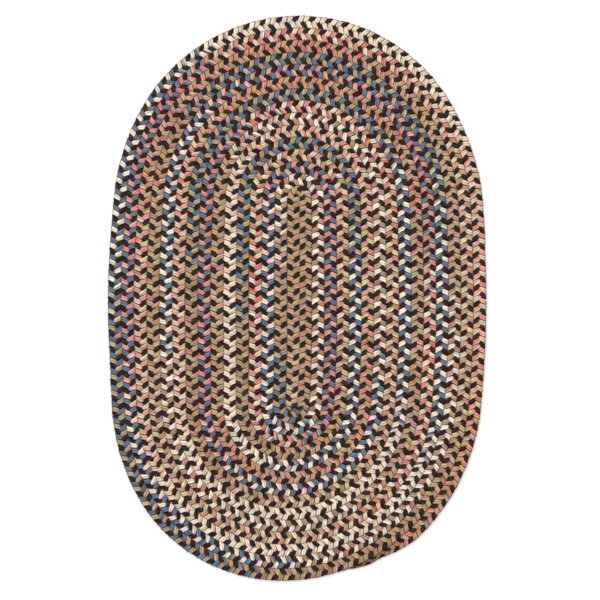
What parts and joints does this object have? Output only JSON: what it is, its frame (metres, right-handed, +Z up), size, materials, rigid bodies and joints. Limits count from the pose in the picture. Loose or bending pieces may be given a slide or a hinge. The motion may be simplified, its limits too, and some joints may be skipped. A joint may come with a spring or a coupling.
{
  "type": "braided rug",
  "caption": "Oval braided floor rug: a flat braid of dark and space-dyed yarn, coiled out from a straight middle row, laced edge to edge and tapered off at its outer end.",
  "frame": {"origin": "middle of the outline on the floor, under the rug", "axes": "+Y along the rug's length towards the end away from the braid's outer tip, +Z up out of the upper face, +X to the side that the tip is on"},
  "size_m": [0.6106, 0.9138, 0.0095],
  "materials": {
    "braided_yarn": "matte"
  },
  "bodies": {
    "root": {"braided_rug": "braided_yarn"}
  },
  "joints": []
}
